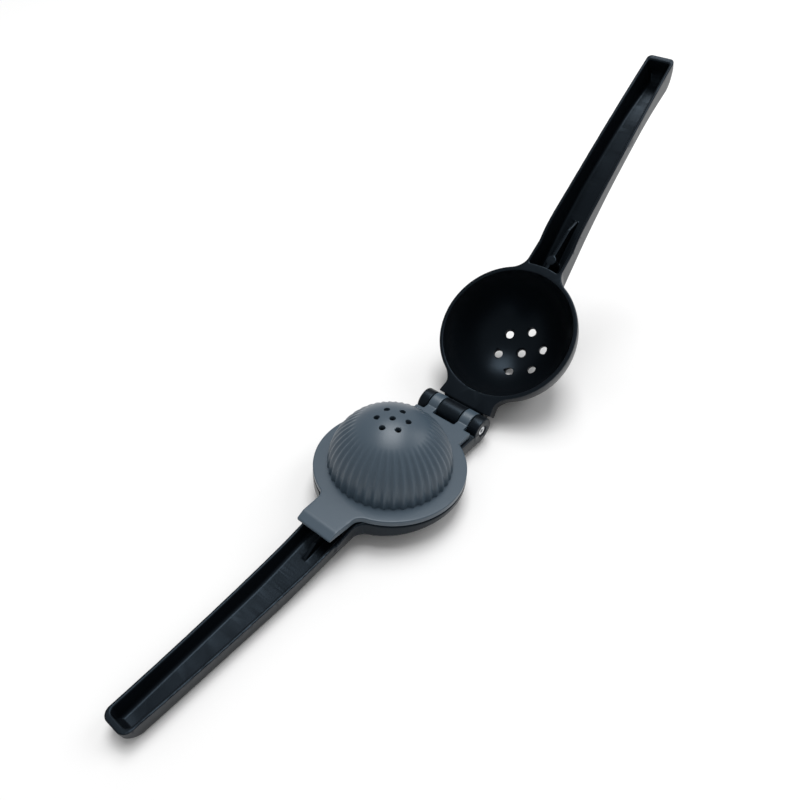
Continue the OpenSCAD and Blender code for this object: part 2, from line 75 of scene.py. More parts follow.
@dataclass(frozen=True)
class Stack:
    """Sizes in millimetres that the three rings and the hinge share."""

    reach: float = 53.4
    hinge_height: float = 10.2
    rest_tilt: float = 3.97
    outer_r: float = 38.0
    deck_top: float = 0.7
    stack_gap: float = 0.3
    flange_t: float = 3.1
    bowl_rim_h: float = 1.6
    knuckle_r: float = 7.3
    ear_r: float = 7.2
    bowl_knuckle_half: float = 6.6
    insert_knuckle_w: float = 6.0
    ear_w: float = 5.8
    knuckle_play: float = 0.4
    pin_r: float = 2.5
    pin_clearance: float = 0.05
    pin_recess_r: float = 3.3
    pin_recess_depth: float = 0.5
    edge: float = 0.5

    @property
    def insert_z(self) -> float:
        """Underside of the insert's flange above the hinge axis."""
        return self.deck_top + self.stack_gap

    @property
    def flange_top(self) -> float:
        """Top of the insert's flange above the hinge axis."""
        return self.insert_z + self.flange_t

    @property
    def bowl_rim(self) -> float:
        """Distance from the hinge axis to the bowl's rim plane."""
        return self.flange_top + self.stack_gap

    @property
    def bowl_centre(self) -> float:
        """Distance from the hinge axis to the plane of the bowl's centre."""
        return self.bowl_rim + self.bowl_rim_h

    @property
    def insert_span(self) -> tuple[float, float]:
        """Inner and outer face of an insert knuckle along the pin."""
        inner = self.bowl_knuckle_half + self.knuckle_play
        return inner, inner + self.insert_knuckle_w

    @property
    def ear_span(self) -> tuple[float, float]:
        """Inner and outer face of an ear along the pin."""
        inner = self.insert_span[1] + self.knuckle_play
        return inner, inner + self.ear_w

    @property
    def root(self) -> float:
        """Distance from the hinge axis to the far side of the rings."""
        return self.reach + self.outer_r

    @property
    def bowl_rise(self) -> float:
        """Angle of the bowl's lever over the table, in radians, standing on its bowl."""
        arm = math.hypot(self.reach, self.bowl_centre)
        to_centre = math.atan(self.bowl_centre / self.reach)
        return math.asin((self.outer_r - self.hinge_height) / arm) + to_centre


STACK = Stack()
HINGE = Vector(frame["joints"][0]["pos_m"])
LEAN = Matrix.Rotation(math.radians(STACK.rest_tilt), 4, "Y")
LOWER = Matrix.Translation(HINGE) @ LEAN @ Matrix.Rotation(math.pi, 4, "Z")
UPPER = Matrix.Translation(HINGE) @ Matrix.Rotation(-STACK.bowl_rise, 4, "Y")


# ---------------------------------------------------------------- rounded solids


def convex(a: Array, b: Array, radius: float) -> Array:
    """What lies in both solids, with the edge between them rounded.

    Args:
        a: Signed distance to the first solid.
        b: Signed distance to the second solid.
        radius: Radius of the rounded edge.

    Returns:
        Signed distance to the common solid.
    """
    corner = np.hypot(np.maximum(a + radius, 0), np.maximum(b + radius, 0))
    return np.minimum(np.maximum(a, b), -radius) + corner


def concave(a: Array, b: Array, radius: float) -> Array:
    """What lies in either solid, with a fillet of that radius in the corner between them."""
    return -convex(-a, -b, radius)


def carve(solid: Array, tool: Array, radius: float) -> Array:
    """The solid without the tool, with the edge of the cut rounded."""
    return convex(solid, -tool, radius)


def dome_distance(r: Array, z: Array, width: float, height: float) -> Array:
    """Near distance to an upright ellipsoid of revolution about the Z axis."""
    far = np.hypot(r / width, z / height)
    steep = np.hypot(r / width**2, z / height**2) + 1e-9
    return far * (far - 1) / steep


@dataclass(frozen=True)
class Line:
    """Smooth curve through points given as (distance from the hinge, height)."""

    points: tuple[tuple[float, float], ...]

    def __call__(self, x: Array) -> Array:
        """Height of the curve at x, level beyond its ends."""
        px, pz = np.array(self.points).T
        before = np.maximum(np.arange(len(px)) - 1, 0)
        after = np.minimum(np.arange(len(px)) + 1, len(px) - 1)
        slope = (pz[after] - pz[before]) / (px[after] - px[before])
        i = np.clip(np.searchsorted(px, x, "right") - 1, 0, len(px) - 2)
        span = px[i + 1] - px[i]
        t = np.clip((x - px[i]) / span, 0, 1)
        start = pz[i] * (1 + 2 * t) * (1 - t) ** 2 + slope[i] * span * t * (1 - t) ** 2
        return start + pz[i + 1] * t * t * (3 - 2 * t) + slope[i + 1] * span * t * t * (t - 1)


@dataclass(frozen=True)
class Grid:
    """Box of sampling points, in millimetres, and the size of its cells."""

    low: tuple[float, float, float]
    high: tuple[float, float, float]
    cell: float

    def axes(self) -> list[Array]:
        """Sampling places along each of the three axes."""
        return [np.arange(a, b + self.cell, self.cell) for a, b in zip(self.low, self.high)]


def sample(field: Field, grid: Grid, slab: int = 24) -> Array:
    """Values of a field on the grid, worked out a slab at a time to spare memory."""
    x, y, z = grid.axes()
    values = np.empty((len(x), len(y), len(z)), np.float32)
    for i in range(0, len(x), slab):
        values[i:i + slab] = field(x[i:i + slab, None, None], y[None, :, None], z[None, None, :])
    return values


def net(field: Field, grid: Grid) -> tuple[Array, Array]:
    """Quad mesh on the field's zero surface, one point in each cell that it crosses.

    Args:
        field: Signed distance, negative inside.
        grid: Where the field is sampled. The surface lies inside it.

    Returns:
        Points and quads, wound outwards.
    """
    values = sample(field, grid)
    inside = values < 0
    corners = [(i, j, k) for i in (0, 1) for j in (0, 1) for k in (0, 1)]
    cut = [tuple(slice(c, n - 1 + c) for c, n in zip(corner, values.shape)) for corner in corners]
    count = sum(inside[s].astype(np.uint8) for s in cut)
    cells = np.argwhere((count > 0) & (count < 8))
    number = np.full(count.shape, -1, np.int64)
    number[tuple(cells.T)] = np.arange(len(cells))
    at = {c: values[tuple((cells + c).T)] for c in corners}
    total = np.zeros((len(cells), 3))
    hits = np.zeros(len(cells))
    for a in corners:
        for axis in range(3):
            if a[axis] == 0:
                b = tuple(v + (n == axis) for n, v in enumerate(a))
                crossed = (at[a] < 0) != (at[b] < 0)
                share = np.where(crossed, at[a] / np.where(crossed, at[a] - at[b], 1), 0)
                total += crossed[:, None] * (np.array(a) + share[:, None] * (np.array(b) - a))
                hits += crossed
    points = np.array(grid.low) + (cells + total / hits[:, None]) * grid.cell
    quads = []
    for axis in range(3):
        u, v = (axis + 1) % 3, (axis + 2) % 3
        here = [slice(1, n - 1) for n in values.shape]
        there = list(here)
        here[axis], there[axis] = slice(0, -1), slice(1, None)
        first, second = inside[tuple(here)], inside[tuple(there)]
        for leaving, turn in ((first & ~second, 1), (~first & second, -1)):
            edges = np.argwhere(leaving)
            edges[:, [u, v]] += 1
            ring = []
            for du, dv in ((-1, -1), (0, -1), (0, 0), (-1, 0))[::turn]:
                step = edges.copy()
                step[:, u] += du
                step[:, v] += dv
                ring.append(number[tuple(step.T)])
            quads.append(np.stack(ring, 1))
    return points, np.concatenate(quads)


def settle(field: Field, points: Array, quads: Array, cell: float, rounds: int = 4) -> Array:
    """Evens the points out along the surface and draws each one onto it.

    Args:
        field: Signed distance, negative inside.
        points: Points near the surface.
        quads: Faces between them.
        cell: Cell size, which limits how far a point moves at a time.
        rounds: Number of passes.

    Returns:
        The moved points.
    """
    starts = quads.ravel()
    ends = np.roll(quads, -1, 1).ravel()
    degree = np.maximum(np.bincount(starts, minlength=len(points)), 1)
    probe = 0.02
    flattest = 0.05
    for turn in range(rounds):
        mean = np.stack([np.bincount(starts, points[ends, n], len(points)) / degree for n in range(3)], 1)
        points = points + (0.5 if turn < rounds - 1 else 0.0) * (mean - points)
        for _ in range(2):
            x, y, z = points.T
            here = field(x, y, z)
            slope = np.stack([
                field(x + probe, y, z) - field(x - probe, y, z),
                field(x, y + probe, z) - field(x, y - probe, z),
                field(x, y, z + probe) - field(x, y, z - probe)], 1) / (2 * probe)
            step = here[:, None] * slope / np.maximum((slope**2).sum(1), flattest)[:, None]
            length = np.linalg.norm(step, axis=1)[:, None]
            points = points - step * np.minimum(1, 0.5 * cell / np.maximum(length, 1e-9))
    return points


# ---------------------------------------------------------------- meshes


def mesh_object(name: str, points: Array, faces: Array) -> bpy.types.Object:
    """New object in the scene from points in metres and equal-sided faces."""
    mesh = bpy.data.meshes.new(name)
    mesh.from_pydata(points.tolist(), [], faces.tolist())
    mesh.validate()
    obj = bpy.data.objects.new(name, mesh)
    bpy.context.scene.collection.objects.link(obj)
    return obj


def baked(obj: bpy.types.Object) -> bpy.types.Object:
    """The object with its modifiers applied and removed."""
    bpy.context.view_layer.update()
    view = bpy.context.evaluated_depsgraph_get()
    mesh = bpy.data.meshes.new_from_object(obj.evaluated_get(view))
    old = obj.data
    obj.modifiers.clear()
    obj.data = mesh
    bpy.data.meshes.remove(old)
    return obj


def thin_out(obj: bpy.types.Object, triangles: int) -> bpy.types.Object:
    """Merges flat stretches of the mesh until about that many triangles are left."""
    now = sum(len(p.vertices) - 2 for p in obj.data.polygons)
    if now > triangles:
        modifier = obj.modifiers.new("thin out", "DECIMATE")
        modifier.ratio = triangles / now
        modifier.use_collapse_triangulate = True
        baked(obj)
    return obj


def shade(obj: bpy.types.Object, sharp_degrees: float = 38) -> None:
    """Smooth shading, broken only along edges sharper than the given angle."""
    obj.data.shade_smooth()
    obj.data.set_sharp_from_angle(angle=math.radians(sharp_degrees))


def face_outwards(obj: bpy.types.Object) -> None:
    """Merges doubles and winds every face of a closed mesh outwards."""
    work = bmesh.new()
    work.from_mesh(obj.data)
    bmesh.ops.remove_doubles(work, verts=work.verts, dist=1e-7)
    bmesh.ops.recalc_face_normals(work, faces=work.faces)
    if work.calc_volume(signed=True) < 0:
        bmesh.ops.reverse_faces(work, faces=work.faces)
    work.to_mesh(obj.data)
    work.free()


def solid(name: str, field: Field, grid: Grid, place: Matrix, triangles: int) -> bpy.types.Object:
    """Mesh of a rounded solid, placed in metres.

    Args:
        name: Name of the piece.
        field: Signed distance in the lever frame, in millimetres.
        grid: Where it is sampled.
        place: Matrix from the lever frame, in metres, to the row frame.
        triangles: Most triangles that are kept.

    Returns:
        The new object.
    """
    points, quads = net(field, grid)
    points = settle(field, points, quads, grid.cell)
    turn = np.array(place.to_3x3())
    placed = points * MM @ turn.T + np.array(place.translation)
    obj = mesh_object(name, placed, quads)
    log.info("%s: %d quads before thinning", name, len(quads))
    return thin_out(obj, triangles)


def cell_size(fine: float) -> float:
    """Cell of a sampling grid: the given fine size."""
    return fine


# ---------------------------------------------------------------- geometry nodes


class NodeTree:
    """Thin helper that adds and links nodes of one tree."""

    def __init__(self, name: str, kind: str) -> None:
        self.tree = bpy.data.node_groups.new(name, kind)
        self.inputs: dict[str, str] = {}

    def socket(self, name: str, kind: str, default: float | None = None, out: bool = False) -> None:
        """Declares an input or output socket of the group."""
        side = "OUTPUT" if out else "INPUT"
        made = self.tree.interface.new_socket(name, in_out=side, socket_type=kind)
        if default is not None:
            made.default_value = default
        if not out:
            self.inputs[name] = made.identifier

    def add(self, kind: str, values: dict | None = None, **settings: object) -> bpy.types.Node:
        """Adds a node, sets its properties and links or fills its inputs."""
        node = self.tree.nodes.new(kind)
        for key, value in settings.items():
            setattr(node, key, value)
        for key, value in (values or {}).items():
            self.feed(node.inputs[key], value)
        return node

    def feed(self, socket: bpy.types.NodeSocket, value: object) -> None:
        """Links another socket into this one, or sets its value."""
        if isinstance(value, bpy.types.NodeSocket):
            self.tree.links.new(value, socket)
        else:
            socket.default_value = value

    def math(self, operation: str, *values: object) -> bpy.types.NodeSocket:
        """Result of a math node."""
        return self.add("ShaderNodeMath", dict(enumerate(values)), operation=operation).outputs[0]

    def between(self, value: object, low: object, high: object, smooth: bool = False) -> bpy.types.NodeSocket:
        """How far a value has come from low to high, from 0 to 1."""
        kind = "SMOOTHSTEP" if smooth else "LINEAR"
        node = self.add("ShaderNodeMapRange", {"Value": value, "From Min": low, "From Max": high},
                        interpolation_type=kind)
        return node.outputs["Result"]

    def vector(self, x: object, y: object, z: object) -> bpy.types.NodeSocket:
        """Vector from three numbers."""
        return self.add("ShaderNodeCombineXYZ", {"X": x, "Y": y, "Z": z}).outputs[0]


def run_nodes(obj: bpy.types.Object, nodes: NodeTree, values: dict[str, float]) -> bpy.types.Object:
    """Puts the tree on the object with those inputs and applies it."""
    modifier = obj.modifiers.new(nodes.tree.name, "NODES")
    modifier.node_group = nodes.tree
    for name, value in values.items():
        modifier[nodes.inputs[name]] = value
    return baked(obj)


def fluted_dome_nodes(finish: bpy.types.Material) -> NodeTree:
    """Tree that rolls a grid into a closed, hollow dome with flutes round its outside.

    Along the grid's Y the dome runs from its top down the outside, across its foot
    and up the hollow to the top again. The shares skirt to hollow_edge say where along
    Y each stretch ends. Lengths are in metres.

    Args:
        finish: Material that the tree sets.

    Returns:
        The tree, with inputs for the dome's sizes.
    """
    n = NodeTree("fluted dome", "GeometryNodeTree")
    n.socket("Geometry", "NodeSocketGeometry")
    for name, default in (("Ridge Radius", 0.031), ("Height", 0.0294), ("Wall", 0.0021), ("Foot", 0.0015),
                          ("Flute Depth", 0.001), ("Fade Start", 0.54), ("Fade End", 0.82)):
        n.socket(name, "NodeSocketFloat", default)
    n.socket("Flutes", "NodeSocketInt", 42)
    n.socket("Around", "NodeSocketInt", 421)
    n.socket("Along", "NodeSocketInt", 134)
    n.socket("Geometry", "NodeSocketGeometry", out=True)
    given = n.add("NodeGroupInput").outputs
    grid = n.add("GeometryNodeMeshGrid", {"Size X": 1.0, "Size Y": 1.0,
                                          "Vertices X": given["Around"], "Vertices Y": given["Along"]})
    place = n.add("ShaderNodeSeparateXYZ", {"Vector": n.add("GeometryNodeInputPosition").outputs[0]})
    turn = n.math("MULTIPLY", n.math("ADD", place.outputs["X"], 0.5), math.tau)
    along = n.math("ADD", place.outputs["Y"], 0.5)
    skirt, foot_out, foot_middle, foot_in, hollow_edge = 0.62, 0.64, 0.65, 0.66, 0.68
    quarter = math.pi / 2
    outer_a = n.math("MULTIPLY", n.between(along, 0.0, skirt), quarter)
    inner_a = n.math("MULTIPLY", n.between(along, 1.0, hollow_edge), quarter)
    grown = n.between(outer_a, given["Fade Start"], given["Fade End"], smooth=True)
    wave = n.math("COSINE", n.math("MULTIPLY", turn, given["Flutes"]))
    valley = n.math("MULTIPLY", n.math("SUBTRACT", 1.0, wave), 0.5)
    hollow = n.math("MULTIPLY", n.math("MULTIPLY", given["Flute Depth"], grown), valley)
    outer_r = n.math("SUBTRACT", n.math("MULTIPLY", given["Ridge Radius"], n.math("SINE", outer_a)), hollow)
    outer_z = n.math("SUBTRACT", n.math("MULTIPLY", given["Height"], n.math("COSINE", outer_a)),
                     n.math("MULTIPLY", given["Foot"], n.between(along, skirt, foot_out)))
    depth = n.math("ADD", given["Wall"], given["Flute Depth"])
    inner_r = n.math("MULTIPLY", n.math("SUBTRACT", given["Ridge Radius"], depth), n.math("SINE", inner_a))
    inner_z = n.math("SUBTRACT", n.math("MULTIPLY", n.math("SUBTRACT", given["Height"], given["Wall"]),
                                        n.math("COSINE", inner_a)),
                     n.math("MULTIPLY", given["Foot"], n.between(along, hollow_edge, foot_in)))
    outside = n.math("LESS_THAN", along, foot_middle)
    radius = n.math("ADD", n.math("MULTIPLY", outside, outer_r),
                    n.math("MULTIPLY", n.math("SUBTRACT", 1.0, outside), inner_r))
    height = n.math("ADD", n.math("MULTIPLY", outside, outer_z),
                    n.math("MULTIPLY", n.math("SUBTRACT", 1.0, outside), inner_z))
    rolled = n.add("GeometryNodeSetPosition", {
        "Geometry": grid.outputs["Mesh"],
        "Position": n.vector(n.math("MULTIPLY", radius, n.math("COSINE", turn)),
                             n.math("MULTIPLY", radius, n.math("SINE", turn)), height)})
    closed = n.add("GeometryNodeMergeByDistance", {"Geometry": rolled.outputs[0], "Distance": 2e-6})
    real = n.add("GeometryNodeRealizeInstances", {"Geometry": closed.outputs[0]})
    dressed = n.add("GeometryNodeSetMaterial", {"Geometry": real.outputs[0], "Material": finish})
    n.tree.links.new(dressed.outputs[0], n.add("NodeGroupOutput").inputs[0])
    return n


def hole_ring_nodes(finish: bpy.types.Material) -> NodeTree:
    """Tree that cuts one middle hole and a ring of round holes down through a shell.

    Each hole flares at the shell's upper face, which is an ellipsoid of revolution
    about the Z axis.

    Args:
        finish: Material that the tree sets.

    Returns:
        The tree, with inputs for the holes' number, size and place, in metres.
    """
    n = NodeTree("hole ring", "GeometryNodeTree")
    n.socket("Geometry", "NodeSocketGeometry")
    n.socket("Count", "NodeSocketInt", 6)
    for name, default in (("Hole Radius", 0.0015), ("Ring Radius", 0.0075), ("Flare", 0.0003),
                          ("Shell Radius", 0.031), ("Shell Height", 0.0294), ("Shell Middle", 0.0),
                          ("Depth", 0.01)):
        n.socket(name, "NodeSocketFloat", default)
    n.socket("Geometry", "NodeSocketGeometry", out=True)
    given = n.add("NodeGroupInput").outputs
    ring = n.add("GeometryNodeMeshCircle", {"Vertices": given["Count"], "Radius": given["Ring Radius"]})
    middle = n.add("GeometryNodeMeshLine", {"Count": 1})
    sides = 56
    places = n.add("GeometryNodeJoinGeometry")
    for part in (ring, middle):
        n.tree.links.new(part.outputs[0], places.inputs[0])
    place = n.add("GeometryNodeInputPosition").outputs[0]
    out = n.math("DIVIDE", n.add("ShaderNodeVectorMath", {0: place}, operation="LENGTH").outputs["Value"],
                 given["Shell Radius"])
    share = n.math("SQRT", n.math("SUBTRACT", 1.0, n.math("MULTIPLY", out, out)))
    face = n.math("ADD", given["Shell Middle"], n.math("MULTIPLY", given["Shell Height"], share))
    low = n.math("SUBTRACT", face, given["Flare"])
    on_face = n.add("GeometryNodeSetPosition", {"Geometry": places.outputs[0],
                                                "Offset": n.vector(0.0, 0.0, low)})
    wide = n.math("ADD", given["Hole Radius"], n.math("MULTIPLY", given["Flare"], 2.0))
    drill = n.add("GeometryNodeMeshCylinder", {"Vertices": sides, "Radius": given["Hole Radius"],
                                               "Depth": given["Depth"]}, fill_type="TRIANGLE_FAN")
    flare = n.add("GeometryNodeMeshCone", {"Vertices": sides, "Radius Top": wide,
                                           "Radius Bottom": given["Hole Radius"],
                                           "Depth": n.math("MULTIPLY", given["Flare"], 2.0)},
                  fill_type="TRIANGLE_FAN")
    shell = given["Geometry"]
    for tool in (drill, flare):
        spread = n.add("GeometryNodeInstanceOnPoints", {"Points": on_face.outputs[0],
                                                        "Instance": tool.outputs["Mesh"]})
        tools = n.add("GeometryNodeRealizeInstances", {"Geometry": spread.outputs[0]})
        cut = n.add("GeometryNodeMeshBoolean", operation="DIFFERENCE", solver="MANIFOLD")
        n.tree.links.new(shell, cut.inputs["Mesh 1"])
        n.tree.links.new(tools.outputs[0], cut.inputs["Mesh 2"])
        shell = cut.outputs["Mesh"]
    real = n.add("GeometryNodeRealizeInstances", {"Geometry": shell})
    dressed = n.add("GeometryNodeSetMaterial", {"Geometry": real.outputs[0], "Material": finish})
    n.tree.links.new(dressed.outputs[0], n.add("NodeGroupOutput").inputs[0])
    return n


# ---------------------------------------------------------------- finishes


def moulded_skin_group() -> bpy.types.NodeTree:
    """Shader group for the faint grain and uneven gloss of a moulded surface."""
    n = NodeTree("moulded skin", "ShaderNodeTree")
    n.socket("Vector", "NodeSocketVector")
    n.socket("Grain Scale", "NodeSocketFloat", 2500.0)
    n.socket("Cloud Scale", "NodeSocketFloat", 60.0)
    n.socket("Height", "NodeSocketFloat", out=True)
    n.socket("Clouds", "NodeSocketFloat", out=True)
    given = n.add("NodeGroupInput").outputs
    place = given["Vector"]
    grain = n.add("ShaderNodeTexNoise", {"Vector": place, "Scale": given["Grain Scale"], "Detail": 2.0})
    cloud = n.add("ShaderNodeTexNoise", {"Vector": place, "Scale": given["Cloud Scale"], "Detail": 3.0})
    out = n.add("NodeGroupOutput")
    n.tree.links.new(grain.outputs["Fac"], out.inputs["Height"])
    n.tree.links.new(cloud.outputs["Fac"], out.inputs["Clouds"])
    return n.tree


def painted_edge_highlight_group() -> bpy.types.NodeTree:
    """Shader group for painted highlight: a lighter colour on convex edges, broken into patches, for the
    light lines that sharp edges catch.
    """
    n = NodeTree("painted edge highlight", "ShaderNodeTree")
    n.socket("Vector", "NodeSocketVector")
    n.socket("Amount", "NodeSocketFloat", 0.5)
    n.socket("Edge Highlight", "NodeSocketFloat", out=True)
    given = n.add("NodeGroupInput").outputs
    edge = n.between(n.add("ShaderNodeNewGeometry").outputs["Pointiness"], 0.53, 0.62)
    patches = n.add("ShaderNodeTexNoise", {"Vector": given["Vector"], "Scale": 220.0, "Detail": 4.0})
    broken = n.between(patches.outputs["Fac"], 0.42, 0.66)
    # Painted highlight: convex edges, found by pointiness and broken into patches, get the lighter colour.
    edge_highlight = n.math("MULTIPLY", n.math("MULTIPLY", edge, broken), given["Amount"])
    n.tree.links.new(edge_highlight, n.add("NodeGroupOutput").inputs["Edge Highlight"])
    return n.tree


@dataclass(frozen=True)
class Finish:
    """A moulded or metal finish, dressed with the shared groups."""

    name: str
    colour: tuple[float, float, float]
    # The second colour and its share are painted highlight: a lighter colour laid on convex edges.
    edge_highlight_colour: tuple[float, float, float]
    roughness: float
    metallic: float = 0.0
    grain_scale: float = 2500.0
    grain_height: float = 0.00002
    cloud_share: float = 0.12
    edge_highlight_share: float = 0.35
    specular: float = 0.5
    tint: tuple[float, float, float] = (1.0, 1.0, 1.0)

    def material(self, skin: bpy.types.NodeTree, edge_highlight: bpy.types.NodeTree) -> bpy.types.Material:
        """Builds the material.

        Args:
            skin: The moulded skin group.
            edge_highlight: The painted edge highlight group, which lightens the colour on convex edges.

        Returns:
            The new material.
        """
        material = bpy.data.materials.new(self.name)
        material.use_nodes = True
        tree = material.node_tree
        tree.nodes.clear()
        output = tree.nodes.new("ShaderNodeOutputMaterial")
        shader = tree.nodes.new("ShaderNodeBsdfPrincipled")
        tree.links.new(shader.outputs[0], output.inputs["Surface"])
        shader.inputs["Metallic"].default_value = self.metallic
        shader.inputs["Specular IOR Level"].default_value = self.specular
        shader.inputs["Specular Tint"].default_value = (*self.tint, 1)
        place = tree.nodes.new("ShaderNodeTexCoord")
        grain = tree.nodes.new("ShaderNodeGroup")
        grain.node_tree = skin
        grain.inputs["Grain Scale"].default_value = self.grain_scale
        # Painted highlight group, which lightens the colour on convex edges.
        painted_edges = tree.nodes.new("ShaderNodeGroup")
        painted_edges.node_tree = edge_highlight
        painted_edges.inputs["Amount"].default_value = self.edge_highlight_share
        for group in (grain, painted_edges):
            tree.links.new(place.outputs["Object"], group.inputs["Vector"])
        bump = tree.nodes.new("ShaderNodeBump")
        bump.inputs["Distance"].default_value = self.grain_height
        tree.links.new(grain.outputs["Height"], bump.inputs["Height"])
        tree.links.new(bump.outputs[0], shader.inputs["Normal"])
        shine = tree.nodes.new("ShaderNodeMapRange")
        shine.inputs["To Min"].default_value = self.roughness - self.cloud_share / 2
        shine.inputs["To Max"].default_value = self.roughness + self.cloud_share / 2
        tree.links.new(grain.outputs["Clouds"], shine.inputs["Value"])
        tree.links.new(shine.outputs[0], shader.inputs["Roughness"])
        # Base colour mixed towards the lighter edge colour where the highlight is painted.
        colour = tree.nodes.new("ShaderNodeMix")
        colour.data_type = "RGBA"
        colour.inputs[6].default_value = (*self.colour, 1)
        colour.inputs[7].default_value = (*self.edge_highlight_colour, 1)
        tree.links.new(painted_edges.outputs["Edge Highlight"], colour.inputs[0])
        tree.links.new(colour.outputs[2], shader.inputs["Base Color"])
        return material


# The second colour of each finish is painted highlight, a lighter colour on convex edges.
LEVER_BLACK = Finish("lever black", (0.0032, 0.0045, 0.0062), (0.016, 0.021, 0.027), 0.31, specular=0.19,
                     cloud_share=0.05, tint=(0.57, 0.78, 1.0))
INSERT_SLATE = Finish("insert slate", (0.0475, 0.0715, 0.096), (0.10, 0.135, 0.165), 0.36, specular=0.475,
                      tint=(0.94, 0.97, 1.0))
PIN_STEEL = Finish("pin steel", (0.62, 0.64, 0.66), (0.8, 0.81, 0.82), 0.3, metallic=1.0,
                   grain_height=0.00001)


# ---------------------------------------------------------------- handles


ROOT = STACK.root
START = ROOT - 8
HANDLE_FROM = STACK.reach + 20


@dataclass(frozen=True)
class Handle:
    """Channel-shaped handle of a lever, in the lever's frame, in millimetres."""

    rim: Line
    under: Line
    tip: float
    heel: float
    steepness: float
    corner: float
    rib_length: float
    end_wall: float
    width: float = 21.8
    tip_width: float = 15.0
    wall: float = 1.6
    tip_wall: float = 2.8
    floor: float = 2.4
    lean: float = 1.3
    channel_lean: float = 2.0
    under_r: float = 2.0
    channel_r: float = 1.5
    rib_half: float = 1.0
    rib_slope: float = 7.0
    rib_drop: float = 4.0
    rib_end_h: float = 0.6
    side_steepness: float = 1.015
    floor_steepness: float = 1.02
    rib_steepness: float = 1.3

    def straight_half(self, x: Array) -> Array:
        """Half width of the handle at its rim, without its end corners."""
        share = (np.maximum(x, STACK.root) - STACK.root) / (self.tip - self.corner - STACK.root)
        return self.width / 2 + (self.tip_width - self.width) / 2 * share

    def side(self, x: Array, y: Array, z: Array, lean: float, inset: float) -> Array:
        """Distance past a side wall that leans in towards the floor."""
        top, bottom = self.rim(x), self.under(x)
        drawn_in = inset + lean * np.clip((top - z) / (top - bottom), 0, 1.2)
        return (np.abs(y) - self.straight_half(x) + drawn_in) / self.side_steepness

    def outside(self, x: Array, y: Array, z: Array) -> Array:
        """Distance to the handle without its hollow and its top, from under its ring on."""
        side = self.side(x, y, z, self.lean, 0.0)
        start = self.tip - self.heel
        floor = self.under(x)
        rise = self.rim(x) - floor
        along = np.maximum(x - start, 0) / self.heel
        down = np.maximum(1 - (z - floor) / rise, 0)
        power = 1 / self.steepness
        heel = down**power + along**2 - 1
        slope = np.hypot(2 * along / self.heel, power * down**(power - 1) / rise) + 1e-3
        bottom = np.where(down > 0, heel / slope, x - self.tip)
        end = convex(side, x - self.tip + 0.02, self.corner)
        return np.maximum(np.maximum(convex(side, bottom, self.under_r), end), HANDLE_FROM - x)

    def channel(self, x: Array, y: Array, z: Array) -> Array:
        """Distance to the hollow of the handle, open upwards."""
        side = self.side(x, y, z, self.channel_lean, self.wall)
        floor = (self.under(x) + self.floor - z) / self.floor_steepness
        end = x - self.tip + self.tip_wall
        along = convex(side, floor, self.channel_r)
        corner = convex(side, end, max(self.corner - self.wall, 1.2))
        hollow = np.maximum(np.maximum(along, corner), self.outside(x, y, z) + self.wall - 0.05)
        ring = STACK.outer_r + self.end_wall - np.hypot(x - STACK.reach, y)
        return np.maximum(convex(hollow, ring, self.channel_r), HANDLE_FROM - x)

    def rib(self, x: Array, y: Array, z: Array) -> Array:
        """Distance to the rib along the middle of the channel's floor."""
        start = STACK.root + self.end_wall
        end = start + self.rib_length
        level = self.rim(np.array(start)) - self.rib_drop
        low = self.under(np.array(end)) + self.floor + self.rib_end_h
        top = level + (low - level) * np.clip((x - end + self.rib_slope) / self.rib_slope, 0, 1)
        box = np.maximum(np.maximum(start - 1 - x, x - end), self.under(x) + 0.5 * self.floor - z)
        return np.maximum(box, convex(np.abs(y) - self.rib_half, (z - top) / self.rib_steepness, 0.4))


def table_z(x: float) -> float:
    """Height of the table in the lower lever's frame."""
    tilt = math.radians(STACK.rest_tilt)
    return -(STACK.hinge_height + x * math.sin(tilt)) / math.cos(tilt)


PRESS_TIP = 217.5
BOWL_TIP = 218.0
BOWL_HEEL = 8.9
FLAT = (ROOT + 48.6, 208.0)
PRESS_HANDLE = Handle(
    rim=Line(((START, 0.5), (ROOT - 2, 0.5), (ROOT + 2, -0.7), (ROOT + 6, -2.3), (ROOT + 10, -3.5),
              (ROOT + 14, -4.7), (ROOT + 31.6, -7.6), (ROOT + 66.6, -11.0), (ROOT + 98.6, -13.0),
              (PRESS_TIP, -13.9))),
    under=Line(((START, -12.0), (ROOT + 4.6, -12.9), (ROOT + 12.6, -14.1), (ROOT + 23.6, -16.1),
                (ROOT + 33.6, -17.9), (ROOT + 41, -19.0), (FLAT[0], table_z(FLAT[0])),
                (FLAT[1] - 40, table_z(FLAT[1] - 40)), (FLAT[1], table_z(FLAT[1])))),
    tip=PRESS_TIP, heel=8.5, steepness=0.7, corner=4.2, rib_length=23.0, end_wall=0.0, rib_drop=8.1)
BOWL_HANDLE = Handle(
    rim=Line(((START, -STACK.bowl_rim), (ROOT + 15, -STACK.bowl_rim), (ROOT + 19, -3.0), (ROOT + 24, -1.6),
              (ROOT + 30, -0.8), (ROOT + 46.6, 0.0), (ROOT + 76.6, 1.4), (ROOT + 98, 1.9), (BOWL_TIP, 1.9))),
    under=Line(((START, -25.4), (ROOT + 6.6, -21.3), (ROOT + 11.6, -20.0), (ROOT + 28.6, -15.9),
                (ROOT + 48.6, -12.6), (ROOT + 58.6, -11.5), (ROOT + 68.6, -10.8), (ROOT + 88.6, -10.1),
                (ROOT + 98.6, -10.4), (ROOT + 106, -11.2), (BOWL_TIP - BOWL_HEEL, -13.1))),
    tip=BOWL_TIP, heel=BOWL_HEEL, steepness=0.5, corner=2.4, rib_length=32.0, end_wall=2.6)


def along_pin(x: Array, y: Array, z: Array, radius: float, y0: float, y1: float, edge: float) -> Array:
    """Distance to a cylinder on the hinge axis and to its mirror image, from y0 to y1."""
    ends = np.abs(np.abs(y) - (y0 + y1) / 2) - (y1 - y0) / 2
    return convex(np.hypot(x, z) - radius, ends, edge)


# ---------------------------------------------------------------- sub-assemblies


